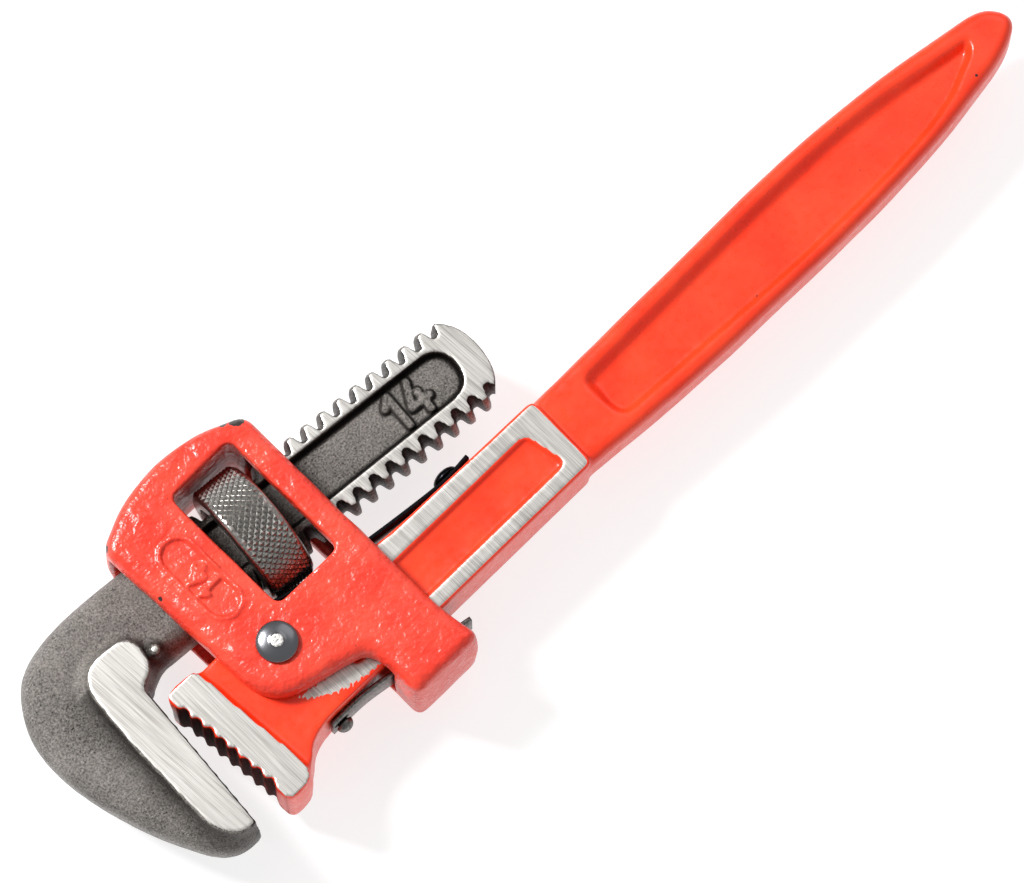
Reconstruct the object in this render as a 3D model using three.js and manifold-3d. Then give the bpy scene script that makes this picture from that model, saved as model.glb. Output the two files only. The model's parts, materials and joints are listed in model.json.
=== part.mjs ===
// A Stillson pattern pipe wrench, nominal length 350 mm, lying on its side.
// Millimetres. The parts are drawn about the middle of the pivot rivet: +X runs along the handle
// to its tip, +Y is the side on which the hook jaw's shank lies, and z = 0 is the plane that
// halves the wrench. The last lines move the origin to the middle of the footprint.
import * as THREE from "three";
import { mergeVertices } from "three/addons/utils/BufferGeometryUtils.js";
import Module from "manifold-3d";

const wasm = await Module();
wasm.setup();

// Clearances between the pieces.
const GAP = 0.3; // between two pieces that touch
const THREAD_GAP = 0.45; // between a crest and the root it runs in
const FLANK_GAP = 0.35; // between two flanks, along the shank
const NECK_GAP = 1.2; // over and under the shank, inside the frame
const NECK_SIDE_GAP = 0.8; // between the hook jaw's neck and each cheek

// Handle, with the heel jaw forged on its end.
const HANDLE_REACH = 281.3; // pivot to tip
const BLOCK_THICKNESS = 20; // where it lies between the frame's cheeks
const BLOCK_END = 101; // pivot to the step where the grip starts
const BLOCK_FRONT = 1.4; // pivot to the block's front edge
const BLOCK_BACK = 24.2; // pivot to the block's back edge
const BLOCK_RIM = 6; // width of the ground rim around the block's pocket
const BLOCK_POCKET_DEPTH = 1.3;
const GRIP_THICKNESS = 16;
const GRIP_FLANGE = 4; // width of the flanges along the grip's edges
const GRIP_EDGE = 2.6; // rounding of the flanges
const GRIP_POCKET_DEPTH = 2.4;

// Both jaws.
const JAW_THICKNESS = 25;
const TOOTH_PITCH = 4.4;
const TOOTH_DEPTH = 1.9;
const JAW_GAP = 3; // between the two rows of teeth, at their inner ends

// Heel jaw.
const HEEL_TOP = 11.8; // pivot to its top
const HEEL_BOTTOM = 34; // pivot to its foot
const HEEL_BEHIND = 17.2; // pivot to its back
const HEEL_TEETH_TOP = 6.6; // pivot to its first tooth
const HEEL_LEAN = 5.8; // degrees that its teeth lean away from the handle's square

// Hook jaw, measured in its shank's direction from the middle of the nut.
const SHANK_LEAN = 5.1; // degrees that the shank leans towards the handle
const SHANK_THICKNESS = 13;
const SHANK_END = 83.4; // to the shank's round end
const SHANK_POCKET_WIDTH = 16;
const SHANK_POCKET_DEPTH = 2.5;
const NECK_END = 22; // to where the neck becomes the flat shank
const HOOK_WEB_THICKNESS = 17;
const HOOK_FACE = 52.9; // to the hook's teeth
const HOOK_BACK = 86.3; // to the back of the hook
const HOOK_DROP = 68.4; // shank's centre line to the hook's point
const NECK_SETBACK = 0.5; // from the thread's crests in to the edges of the neck
const HOOK_TEETH_TOP = 28; // shank's centre line to the first tooth
const HOOK_FLANGE = 11.8; // width of the ground flange behind the teeth

// Thread on the shank's two edges and in the nut.
const THREAD_RADIUS = 14.9; // over the crests
const THREAD_DEPTH = 3.2;
const THREAD_PITCH = 6;
const CREST_WIDTH = 1.9;
const ROOT_WIDTH = 1.3;

// Nut.
const NUT_X = 19.6; // pivot to the middle of the nut, along the handle
const NUT_Y = 30.9; // and across it
const NUT_RADIUS = 19.5;
const NUT_LENGTH = 15;
const NUT_CHAMFER = 1;

// Frame.
const CHEEK_THICKNESS = 6.7;
const FRAME_LEFT = 14.2; // pivot to the edge on the jaws' side
const FRAME_EDGE = 2; // rounding of the outer edges
const WINDOW_PLAY = 3.7; // between the nut and each end of its window
const CREST_WALL = 10.4; // metal over the window
const SIDE_WALL = 10.1; // metal between the window and the edge on the grip's side
const BRIDGE_LENGTH = 24; // bridge behind the handle, along it
const BRIDGE_WALL = 9; // its metal, on the jaws' side
const BRIDGE_PLAY = 4; // between it and the handle's back, on the jaws' side
const BRIDGE_LEAN = 9.3; // degrees that its inner face leans away from the handle

// Pivot rivet.
const RIVET_RADIUS = 4.5;
const RIVET_HEAD_RADIUS = 6.1;
const RIVET_HEAD_HEIGHT = 2.2;

// Springs and their rivets.
const SPRING_THICKNESS = 1.4;
const SPRING_WIDTH = 11;
const SPRING_RIVET_RADIUS = 1.8;
const SPRING_RIVET_DEPTH = 8; // in the handle
const FRONT_RIVET_X = 69.5; // pivot to the front spring's rivet
const FRONT_HEAD_RADIUS = 4.2;
const FRONT_HEAD_HEIGHT = 2.3;
const BACK_RIVET_X = -0.8; // pivot to the back spring's rivet
const BACK_HEAD_RADIUS = 2.7;
const BACK_HEAD_HEIGHT = 2.6;

// Sizes that follow from those above.
const CHANNEL = BLOCK_THICKNESS + 2 * GAP; // between the cheeks
const FRAME_THICKNESS = CHANNEL + 2 * CHEEK_THICKNESS;
const NECK_THICKNESS = CHANNEL - 2 * NECK_SIDE_GAP;
const HOOK_THROAT = THREAD_RADIUS - NECK_SETBACK; // shank's centre line to the throat
const LEAN = THREE.MathUtils.degToRad(SHANK_LEAN);
const UNDER_NUT = NUT_Y - NUT_RADIUS;
const WINDOW_TOP = NUT_Y + NUT_RADIUS + 3 * GAP;
const WINDOW_BOTTOM = UNDER_NUT - WINDOW_PLAY + GAP;
const WINDOW_LEFT = NUT_X - NUT_LENGTH / 2 - WINDOW_PLAY;
const WINDOW_RIGHT = NUT_X + NUT_LENGTH / 2 + WINDOW_PLAY;
const FRAME_RIGHT = WINDOW_RIGHT + SIDE_WALL;
const BRIDGE_INNER = -BLOCK_BACK - BRIDGE_PLAY;
const SPRING_SEAT = GAP + SPRING_THICKNESS / 2; // edge of the handle to a spring's middle
const SPRING_HEAD = SPRING_THICKNESS + 3 * GAP; // edge of the handle to a rivet's head
const OUTSIDE = 200; // further than any cut has to reach
const SAME = 1e-4; // points nearer than this are one point
const SHORT = 0.5; // a straight shorter than this between two rounded corners is left out

// The shank's edge on the handle's side, above the point x of the handle.
function shankUnder(x) {
  return NUT_Y - (x - NUT_X) * Math.tan(LEAN) - THREAD_RADIUS / Math.cos(LEAN);
}

// The hook's row of teeth, beside the point y of the heel jaw.
function hookFaceAt(y) {
  return NUT_X + ((y - NUT_Y) * Math.sin(LEAN) - HOOK_FACE) / Math.cos(LEAN);
}

// ---- geometry to solids and back ----

function toSolid(geometry) {
  const bare = geometry.clone();
  bare.deleteAttribute("normal");
  bare.deleteAttribute("uv");
  const merged = mergeVertices(bare, SAME);
  const corners = merged.index.array;
  const triangles = [];
  for (let i = 0; i < corners.length; i += 3) {
    const [a, b, c] = corners.slice(i, i + 3);
    if (a !== b && b !== c && c !== a) triangles.push(a, b, c);
  }
  return new wasm.Manifold(
    new wasm.Mesh({
      numProp: 3,
      vertProperties: new Float32Array(merged.attributes.position.array),
      triVerts: new Uint32Array(triangles),
    }),
  );
}

function toMesh(name, solid, color, roughness, metalness) {
  const { vertProperties, triVerts } = solid.getMesh();
  const geometry = new THREE.BufferGeometry();
  geometry.setAttribute("position", new THREE.BufferAttribute(vertProperties, 3));
  geometry.setIndex(new THREE.BufferAttribute(triVerts, 1));
  geometry.computeVertexNormals();
  const material = new THREE.MeshStandardMaterial({ color, roughness, metalness });
  const mesh = new THREE.Mesh(geometry, material);
  mesh.name = name;
  return mesh;
}

// An outline through corners [x, y, reach]. Each corner is rounded by a curve that starts and
// ends that far from it, or nearer where its sides are short.
function roundedShape(corners) {
  const shape = new THREE.Shape();
  const count = corners.length;
  const at = (i) => new THREE.Vector2(...corners[(i + count) % count]);
  const towards = (here, other, reach) => {
    const side = other.clone().sub(here);
    return here.clone().add(side.setLength(Math.min(reach, side.length() / 2)));
  };
  corners.forEach(([x, y, reach], i) => {
    const start = towards(at(i), at(i - 1), reach);
    const end = towards(at(i), at(i + 1), reach);
    if (i === 0) shape.moveTo(start.x, start.y);
    else if (start.distanceTo(shape.currentPoint) > SHORT) shape.lineTo(start.x, start.y);
    if (reach > 0) shape.quadraticCurveTo(x, y, end.x, end.y);
  });
  shape.closePath();
  return shape;
}

// A slab of the given thickness about z = 0, its edges rounded inside the outline.
function slab(shape, thickness, edge = 0) {
  const geometry = new THREE.ExtrudeGeometry(shape, {
    depth: thickness - 2 * edge,
    bevelEnabled: edge > 0,
    bevelThickness: edge,
    bevelSize: edge,
    bevelOffset: -edge,
    bevelSegments: 3,
    curveSegments: 6,
  });
  geometry.translate(0, 0, edge - thickness / 2);
  return toSolid(geometry);
}

// The same pocket cut into the top and the underside of a slab.
function pocketPair(corners, depth, thickness, edge) {
  const cut = slab(roundedShape(corners), 2 * depth, edge);
  const level = thickness / 2;
  return cut.translate([0, 0, level]).add(cut.translate([0, 0, -level]));
}

function block(xMin, xMax, yMin, yMax, zMin, zMax) {
  const geometry = new THREE.BoxGeometry(xMax - xMin, yMax - yMin, zMax - zMin);
  geometry.translate((xMin + xMax) / 2, (yMin + yMax) / 2, (zMin + zMax) / 2);
  return toSolid(geometry);
}

// A round solid about Z, from [radius, height] points that start and end on the axis.
function turned(profile, segments = 32) {
  const points = profile.map(([radius, height]) => new THREE.Vector2(radius, height));
  const geometry = new THREE.LatheGeometry(points, segments);
  geometry.rotateX(Math.PI / 2);
  return toSolid(geometry);
}

// A bore of the given radius about Z.
function bore(radius, low, high) {
  return turned([[0, low], [radius, low], [radius, high], [0, high]]);
}

// The points of a domed head, from its rim to its top.
function dome(radius, base, height) {
  const steps = 5;
  const points = [];
  for (let i = 0; i < steps; i++) {
    const turn = (i / steps) * (Math.PI / 2);
    points.push([radius * Math.cos(turn), base + height * Math.sin(turn)]);
  }
  points.push([0, base + height]);
  return points;
}

// ---- thread ----

// A solid right-hand screw along X, at least as long as asked for, with a tooth's middle at x = 0
// on its +Y side. The edges of crest and root are rows of points that climb one pitch in a turn,
// so the last column of points joins the first one a whole tooth further on.
function screw(length, crestRadius, rootRadius, crestWidth, rootWidth) {
  const columns = 36;
  const teeth = 2 * Math.ceil(length / THREAD_PITCH / 2) + 4;
  const edges = [
    [-crestWidth / 2, crestRadius],
    [crestWidth / 2, crestRadius],
    [(THREAD_PITCH - rootWidth) / 2, rootRadius],
    [(THREAD_PITCH + rootWidth) / 2, rootRadius],
  ];
  const rows = teeth * edges.length;
  const start = (-teeth / 2) * THREAD_PITCH;
  const positions = [];
  const index = [];
  const vertex = (row, column) => row * columns + column;
  for (let row = 0; row < rows; row++) {
    const [offset, radius] = edges[row % edges.length];
    const tooth = Math.floor(row / edges.length);
    for (let column = 0; column < columns; column++) {
      const turn = column / columns;
      const angle = 2 * Math.PI * turn;
      const x = start + (tooth + turn) * THREAD_PITCH + offset;
      positions.push(x, radius * Math.cos(angle), radius * Math.sin(angle));
    }
  }
  for (let column = 0; column < columns; column++) {
    const last = column === columns - 1;
    const climb = last ? edges.length : 0;
    const beside = last ? 0 : column + 1;
    for (let row = 0; row + climb < rows - 1; row++) {
      const a = vertex(row, column);
      const b = vertex(row + 1, column);
      const c = vertex(row + climb, beside);
      const d = vertex(row + climb + 1, beside);
      index.push(a, c, b, b, c, d);
    }
  }
  const around = Array.from({ length: columns }, (_, column) => column);
  const foot = around.map((column) => vertex(0, column));
  const top = around.map((column) => vertex(rows - 1, column)).reverse();
  for (let step = edges.length; step > 0; step--) {
    foot.push(vertex(step, 0));
    top.push(vertex(rows - 1 - step, columns - 1));
  }
  const close = (rim, x) => {
    const tip = positions.length / 3;
    positions.push(x, 0, 0);
    rim.forEach((here, i) => index.push(tip, rim[(i + 1) % rim.length], here));
  };
  close(foot, start - 2 * THREAD_PITCH);
  close(top, -start + 3 * THREAD_PITCH);
  const geometry = new THREE.BufferGeometry();
  geometry.setAttribute("position", new THREE.Float32BufferAttribute(positions, 3));
  geometry.setIndex(index);
  return toSolid(geometry);
}

// The thread that is cut in the nut: the shank's own, opened by the two clearances.
function nutBore() {
  const slope = (THREAD_PITCH - CREST_WIDTH - ROOT_WIDTH) / 2 / THREAD_DEPTH;
  const widen = 2 * (FLANK_GAP - THREAD_GAP * slope);
  const crestRadius = THREAD_RADIUS + THREAD_GAP;
  const rootRadius = crestRadius - THREAD_DEPTH;
  return screw(2 * NUT_LENGTH, crestRadius, rootRadius, CREST_WIDTH + widen, ROOT_WIDTH - widen);
}

// ---- jaws ----

// Notches for a row of teeth that faces -X, its tips on x = 0, running down from y = 0. Each
// notch is a slanted V, and the cut reaches outwards past the tips. Above the first tooth the
// face is cut flush with the tips.
function toothNotches(length, above) {
  const shape = new THREE.Shape();
  const count = Math.floor(length / TOOTH_PITCH);
  shape.moveTo(-TOOTH_PITCH, above);
  shape.lineTo(0, above);
  shape.lineTo(0, 0);
  for (let i = 0; i < count; i++) {
    shape.lineTo(TOOTH_DEPTH, -TOOTH_PITCH * (i + 0.35));
    shape.lineTo(0, -TOOTH_PITCH * (i + 1));
  }
  shape.lineTo(0, -length - TOOTH_PITCH);
  shape.lineTo(-TOOTH_PITCH, -length - TOOTH_PITCH);
  return slab(shape, 2 * JAW_THICKNESS);
}

// The shank lies along X, with the middle of the nut at the origin.
function shank() {
  const start = -NECK_END - 4;
  const side = THREAD_RADIUS + 1;
  const half = SHANK_POCKET_WIDTH / 2;
  const bar = roundedShape([
    [start, side, 0],
    [SHANK_END, side, side],
    [SHANK_END, -side, side],
    [start, -side, 0],
  ]);
  const pocket = [
    [8 - NECK_END, half, half],
    [SHANK_END - half, half, half],
    [SHANK_END - half, -half, half],
    [8 - NECK_END, -half, half],
  ];
  const rootRadius = THREAD_RADIUS - THREAD_DEPTH;
  const thread = screw(2 * SHANK_END, THREAD_RADIUS, rootRadius, CREST_WIDTH, ROOT_WIDTH);
  return slab(bar, SHANK_THICKNESS)
    .intersect(thread)
    .subtract(pocketPair(pocket, SHANK_POCKET_DEPTH, SHANK_THICKNESS, 1));
}

// The hook is a web with a thicker neck and a ground flange behind its teeth.
function hookJaw() {
  const back = -HOOK_BACK;
  const face = 0.8 - HOOK_FACE; // the notches cut this back to the teeth
  const foot = -HOOK_DROP;
  const outline = roundedShape([
    [-NECK_END, HOOK_THROAT, 0],
    [back + 14, HOOK_THROAT, 26],
    [back, -3, 20],
    [back, -24, 24],
    [back + 9.5, 0.73 * foot, 30],
    [face - 12, foot - 1.4, 9],
    [face, foot, 6],
    [face, -HOOK_THROAT, 6],
    [-NECK_END, -HOOK_THROAT, 0],
  ]);
  const flange = roundedShape([
    [face - HOOK_FLANGE - 1.6, -3.6, 9],
    [face + 5, -3.6, 5],
    [face + 5, -HOOK_THROAT, 4],
    [face, -HOOK_THROAT - 4, 4],
    [face, foot + 1.6, 3],
    [face - 7, foot + 1.6, 5],
    [face - HOOK_FLANGE, foot + 12, 4],
    [face - HOOK_FLANGE - 1.6, -24, 8],
  ]);
  const nearNeck = block(face - 6, 0, -OUTSIDE, OUTSIDE, -OUTSIDE, OUTSIDE);
  const teeth = toothNotches(HOOK_DROP - HOOK_TEETH_TOP, HOOK_TEETH_TOP - HOOK_THROAT - 4)
    .rotate([0, 180, 0])
    .translate([-HOOK_FACE, -HOOK_TEETH_TOP, 0]);
  return slab(outline, NECK_THICKNESS, 3)
    .intersect(nearNeck)
    .add(slab(outline, HOOK_WEB_THICKNESS, 3))
    .add(slab(flange, JAW_THICKNESS, 1))
    .subtract(teeth)
    .add(shank());
}

// The heel jaw stands proud of the handle's block and is notched along its leaning face.
function heelJaw() {
  const lean = THREE.MathUtils.degToRad(HEEL_LEAN);
  const topTooth = hookFaceAt(HEEL_TEETH_TOP) + JAW_GAP;
  const faceAt = (y) => topTooth + (HEEL_TEETH_TOP - y) * Math.tan(lean);
  const width = faceAt(0) + HEEL_BEHIND;
  const outline = roundedShape([
    [faceAt(HEEL_TOP) - 0.8, HEEL_TOP, 4],
    [faceAt(HEEL_TOP) + 0.6 * Math.abs(width), HEEL_TOP, 3],
    [-HEEL_BEHIND - 1.4, -HEEL_BOTTOM + 2, 4],
    [-HEEL_BEHIND - 4, -HEEL_BOTTOM, 3],
    [faceAt(-HEEL_BOTTOM) - 0.8, -HEEL_BOTTOM, 3],
  ]);
  const teeth = toothNotches(HEEL_TEETH_TOP + HEEL_BOTTOM, HEEL_TOP)
    .rotate([0, 0, HEEL_LEAN])
    .translate([topTooth, HEEL_TEETH_TOP, 0]);
  return slab(outline, JAW_THICKNESS, 1.2).subtract(teeth);
}

// ---- handle ----

// The block between the heel jaw and the grip. Its front edge drops away under the nut.
function handleBlock() {
  const outline = roundedShape([
    [-HEEL_BEHIND - 6, HEEL_TOP, 0],
    [-2, HEEL_TOP - 1, 10],
    [NUT_X, UNDER_NUT - 6.4, 12],
    [FRAME_RIGHT, BLOCK_FRONT, 12],
    [BLOCK_END, BLOCK_FRONT - 0.6, 2],
    [BLOCK_END, -BLOCK_BACK, 2],
    [-10, -BLOCK_BACK, 9],
    [-HEEL_BEHIND, 3 - HEEL_BOTTOM, 4],
    [-HEEL_BEHIND - 6, 3 - HEEL_BOTTOM, 0],
  ]);
  const pocketTop = BLOCK_FRONT - BLOCK_RIM - 0.6;
  const pocketFoot = BLOCK_RIM - 0.9 - BLOCK_BACK;
  const pocketStart = RIVET_HEAD_RADIUS + BLOCK_RIM;
  const pocket = [
    [pocketStart, pocketTop, 2],
    [BLOCK_END - 1.4 * BLOCK_RIM, pocketTop, 2],
    [BLOCK_END - BLOCK_RIM, pocketFoot, 2],
    [pocketStart, pocketFoot, 2],
  ];
  return slab(outline, BLOCK_THICKNESS, 1)
    .subtract(pocketPair(pocket, BLOCK_POCKET_DEPTH, BLOCK_THICKNESS, 0.8));
}

// The grip swells slightly and then tapers to a round tip, with a pocket in each side.
function grip() {
  const start = BLOCK_END - 6;
  const along = (share) => BLOCK_END + share * (HANDLE_REACH - BLOCK_END);
  const belly = BLOCK_FRONT + 0.9;
  const back = -BLOCK_BACK - 4;
  const outline = [
    [start, BLOCK_FRONT - 0.8, 0],
    [along(0.66), belly, 42],
    [HANDLE_REACH - 5, -6.4, 6],
    [HANDLE_REACH, -12, 4],
    [HANDLE_REACH, -17, 4],
    [HANDLE_REACH - 9, -21.6, 8],
    [along(0.7), back, 42],
    [along(0.2), back + 1.2, 24],
    [start, 0.6 - BLOCK_BACK, 0],
  ];
  const pocket = [
    [BLOCK_END + 13, BLOCK_FRONT - GRIP_FLANGE - 2.4, 6],
    [along(0.66), belly - GRIP_FLANGE - 1.2, 42],
    [HANDLE_REACH - 13.5, -9.2, 4],
    [HANDLE_REACH - 16, -17, 4],
    [along(0.72), back + GRIP_FLANGE + 1.2, 42],
    [BLOCK_END + 13, -BLOCK_BACK + GRIP_FLANGE - 1, 5],
  ];
  return slab(roundedShape(outline), GRIP_THICKNESS, GRIP_EDGE)
    .subtract(pocketPair(pocket, GRIP_POCKET_DEPTH, GRIP_THICKNESS, 1.6));
}

function handle() {
  return handleBlock()
    .add(grip())
    .add(heelJaw())
    .subtract(pivotBore())
    .subtract(springRivetBore().translate([FRONT_RIVET_X, BLOCK_FRONT, 0]))
    .subtract(springRivetBore().rotate([0, 0, 180]).translate([BACK_RIVET_X, -BLOCK_BACK, 0]));
}

function pivotBore() {
  return bore(RIVET_RADIUS + GAP, -OUTSIDE, OUTSIDE);
}

// A hole about Y that opens upwards, for a rivet that holds a spring.
function springRivetBore() {
  const depth = SPRING_RIVET_DEPTH + GAP;
  return bore(SPRING_RIVET_RADIUS + GAP, -depth, depth).rotate([-90, 0, 0]);
}

// ---- frame ----

// Two cheeks joined by a bridge over the shank and a bridge behind the handle.
function frame() {
  const bottom = BRIDGE_INNER - BRIDGE_WALL - 1.3;
  const bridgeLeft = FRAME_RIGHT + 2 - BRIDGE_LENGTH;
  const shoulder = WINDOW_TOP + 2.6;
  const outline = roundedShape([
    [-FRAME_LEFT - 2.2, shoulder, 4],
    [NUT_X - 18, WINDOW_TOP + CREST_WALL, 16],
    [NUT_X + 3, WINDOW_TOP + CREST_WALL - 0.5, 16],
    [FRAME_RIGHT, shoulder, 4],
    [FRAME_RIGHT, BRIDGE_INNER, 8],
    [FRAME_RIGHT + 2, bottom, 4],
    [bridgeLeft, bottom, 4],
    [bridgeLeft, BRIDGE_INNER + 6, 8],
    [bridgeLeft - 10, -RIVET_RADIUS - 13, 8],
    [-RIVET_HEAD_RADIUS - 4, -RIVET_RADIUS - 9, 8],
    [-FRAME_LEFT, -RIVET_HEAD_RADIUS, 6],
  ]);
  return slab(outline, FRAME_THICKNESS, FRAME_EDGE)
    .subtract(channel(bridgeLeft))
    .subtract(window())
    .subtract(pivotBore());
}

// The space between the cheeks. It follows the shank above and widens behind the handle.
function channel(bridgeLeft) {
  const over = (x) => shankUnder(x) + 2 * THREAD_RADIUS + 2 * NECK_GAP;
  const fall = Math.tan(THREE.MathUtils.degToRad(BRIDGE_LEAN));
  const left = -2 * HOOK_FACE;
  const right = 2 * SHANK_END;
  const shape = roundedShape([
    [left, over(left), 0],
    [left, -OUTSIDE, 0],
    [bridgeLeft - 2, -OUTSIDE, 0],
    [bridgeLeft - 2, BRIDGE_INNER, 0],
    [right, BRIDGE_INNER - (right - bridgeLeft) * fall, 0],
    [right, over(right), 0],
  ]);
  return slab(shape, CHANNEL);
}

// The opening in both cheeks through which the nut is turned.
function window() {
  const corner = 2.5;
  const shape = roundedShape([
    [WINDOW_LEFT, WINDOW_TOP, corner],
    [WINDOW_RIGHT, WINDOW_TOP, corner],
    [WINDOW_RIGHT, WINDOW_BOTTOM, corner],
    [WINDOW_LEFT, WINDOW_BOTTOM, corner],
  ]);
  return slab(shape, 2 * FRAME_THICKNESS);
}

// ---- nut ----

function nut() {
  const half = NUT_LENGTH / 2;
  const flat = NUT_RADIUS - NUT_CHAMFER;
  const ring = turned(
    [
      [0, -half],
      [flat, -half],
      [NUT_RADIUS, NUT_CHAMFER - half],
      [NUT_RADIUS, half - NUT_CHAMFER],
      [flat, half],
      [0, half],
    ],
    60,
  );
  return ring.rotate([0, 90, 0]).subtract(nutBore());
}

// ---- rivets and springs ----

function pivotRivet() {
  const base = FRAME_THICKNESS / 2 + GAP;
  const upper = dome(RIVET_HEAD_RADIUS, base, RIVET_HEAD_HEIGHT);
  const lower = upper.map(([radius, height]) => [radius, -height]).reverse();
  return turned([...lower, [RIVET_RADIUS, -base], [RIVET_RADIUS, base], ...upper], 40);
}

// A rivet about Y, its head upwards and the handle's edge at y = 0.
function springRivet(headRadius, headHeight) {
  const profile = [
    [0, -SPRING_RIVET_DEPTH],
    [SPRING_RIVET_RADIUS, -SPRING_RIVET_DEPTH],
    [SPRING_RIVET_RADIUS, SPRING_HEAD],
    ...dome(headRadius, SPRING_HEAD, headHeight),
  ];
  return turned(profile, 24).rotate([-90, 0, 0]);
}

// A leaf that follows a smooth line through the points, with a hole for its rivet.
function leaf(points, rivetX) {
  const steps = 28;
  const line = new THREE.SplineCurve(points.map(([x, y]) => new THREE.Vector2(x, y)));
  const upper = [];
  const lower = [];
  for (let i = 0; i <= steps; i++) {
    const here = line.getPoint(i / steps);
    const along = line.getTangent(i / steps);
    const across = new THREE.Vector2(-along.y, along.x).multiplyScalar(SPRING_THICKNESS / 2);
    upper.push(here.clone().add(across));
    lower.push(here.clone().sub(across));
  }
  const shape = new THREE.Shape([...upper, ...lower.reverse()]);
  const hole = bore(SPRING_RIVET_RADIUS + GAP, -OUTSIDE, OUTSIDE).rotate([90, 0, 0]);
  return slab(shape, SPRING_WIDTH).subtract(hole.translate([rivetX, 0, 0]));
}

// The front leaf runs from its rivet, under the nut, to the edge of the shank.
function frontSpring() {
  const seat = BLOCK_FRONT + SPRING_SEAT;
  const tip = -3.5;
  return leaf(
    [
      [tip, shankUnder(tip) - SPRING_THICKNESS / 2 - GAP],
      [tip + 4, shankUnder(tip + 4) - SPRING_THICKNESS - 3 * GAP],
      [NUT_X - NUT_LENGTH / 2 - 3, UNDER_NUT],
      [NUT_X, UNDER_NUT - 2.4],
      [NUT_X + 8, UNDER_NUT - 4],
      [FRAME_RIGHT + 1, seat + 2.7],
      [FRONT_RIVET_X - 8, seat + 0.4],
      [FRONT_RIVET_X, seat],
      [FRONT_RIVET_X + 8, seat + 0.6],
    ],
    FRONT_RIVET_X,
  );
}

// The back leaf runs from its rivet to the frame's bridge behind the handle.
function backSpring() {
  const seat = -BLOCK_BACK - SPRING_SEAT;
  const fall = Math.tan(THREE.MathUtils.degToRad(BRIDGE_LEAN));
  const tip = FRAME_RIGHT + 4;
  const reach = tip - (FRAME_RIGHT + 2 - BRIDGE_LENGTH);
  return leaf(
    [
      [BACK_RIVET_X - 3.4, seat - 0.15],
      [BACK_RIVET_X, seat - 0.1],
      [BACK_RIVET_X + 9, seat - 0.2],
      [tip - reach, BRIDGE_INNER + SPRING_THICKNESS / 2 + 3 * GAP],
      [tip, BRIDGE_INNER - reach * fall + SPRING_THICKNESS / 2 + 3 * GAP],
    ],
    BACK_RIVET_X,
  );
}

// ---- assembly ----

const ENAMEL = [0xe8391c, 0.35, 0];
const FORGED = [0x4d4b49, 0.6, 0.8];
const BLACKED = [0x1d1d20, 0.4, 0.9];
const KNURLED = [0x57585a, 0.4, 0.9];
const BRIGHT = [0x77797c, 0.3, 1];

const onShank = new THREE.Group();
onShank.position.set(NUT_X, NUT_Y, 0);
onShank.rotation.z = -LEAN;
onShank.add(toMesh("hook_jaw", hookJaw(), ...FORGED));
onShank.add(toMesh("nut", nut(), ...KNURLED));

const frontRivet = toMesh(
  "front_spring_rivet",
  springRivet(FRONT_HEAD_RADIUS, FRONT_HEAD_HEIGHT),
  ...BLACKED,
);
frontRivet.position.set(FRONT_RIVET_X, BLOCK_FRONT, 0);

const backRivet = toMesh(
  "back_spring_rivet",
  springRivet(BACK_HEAD_RADIUS, BACK_HEAD_HEIGHT),
  ...BRIGHT,
);
backRivet.position.set(BACK_RIVET_X, -BLOCK_BACK, 0);
backRivet.rotation.z = Math.PI;

const wrench = new THREE.Group();
wrench.add(toMesh("handle", handle(), ...ENAMEL));
wrench.add(toMesh("frame", frame(), ...ENAMEL));
wrench.add(toMesh("pivot_rivet", pivotRivet(), ...BRIGHT));
wrench.add(toMesh("front_spring", frontSpring(), ...BLACKED));
wrench.add(toMesh("back_spring", backSpring(), ...BLACKED));
wrench.add(onShank, frontRivet, backRivet);

const box = new THREE.Box3().setFromObject(wrench, true);
const middle = box.getCenter(new THREE.Vector3());
wrench.position.set(-middle.x, -middle.y, -box.min.z);

const part = new THREE.Group();
part.add(wrench);
export default part;
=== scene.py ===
import json
import math

import bpy
import numpy as np
from mathutils import Matrix, Vector


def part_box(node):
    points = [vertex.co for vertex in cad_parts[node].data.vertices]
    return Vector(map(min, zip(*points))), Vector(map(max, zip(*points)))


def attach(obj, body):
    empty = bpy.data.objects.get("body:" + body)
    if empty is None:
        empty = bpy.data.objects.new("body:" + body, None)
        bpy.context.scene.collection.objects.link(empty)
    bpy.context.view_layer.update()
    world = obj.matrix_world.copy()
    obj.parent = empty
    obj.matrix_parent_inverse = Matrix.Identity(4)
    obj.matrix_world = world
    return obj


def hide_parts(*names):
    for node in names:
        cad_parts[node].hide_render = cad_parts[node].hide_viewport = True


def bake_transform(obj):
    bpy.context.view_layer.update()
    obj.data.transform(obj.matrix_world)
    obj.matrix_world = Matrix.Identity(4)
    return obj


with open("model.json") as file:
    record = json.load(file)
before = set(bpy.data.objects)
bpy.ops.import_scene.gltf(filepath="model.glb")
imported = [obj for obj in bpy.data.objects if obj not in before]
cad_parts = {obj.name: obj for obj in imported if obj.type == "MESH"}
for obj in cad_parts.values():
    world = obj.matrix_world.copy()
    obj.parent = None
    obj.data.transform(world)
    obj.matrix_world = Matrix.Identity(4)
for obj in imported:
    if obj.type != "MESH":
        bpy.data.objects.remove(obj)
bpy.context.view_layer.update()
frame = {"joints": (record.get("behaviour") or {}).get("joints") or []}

joints = {joint["name"]: joint for joint in frame["joints"]}
pivot = np.array(joints["frame_rock"]["pos_m"]) * 1000
nutCentre = np.array(joints["nut_spin"]["pos_m"]) * 1000 - pivot
shankDirection = -np.array(joints["jaw_travel"]["axis"])
shankLean = math.atan2(-shankDirection[1], shankDirection[0])


def nodeBox(node):
    # a CAD node's corners, in mm about the pivot
    low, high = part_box(node)
    return np.array(low) * 1000 - pivot, np.array(high) * 1000 - pivot


def toRow(points):
    return (np.asarray(points, float) + pivot) / 1000


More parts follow.
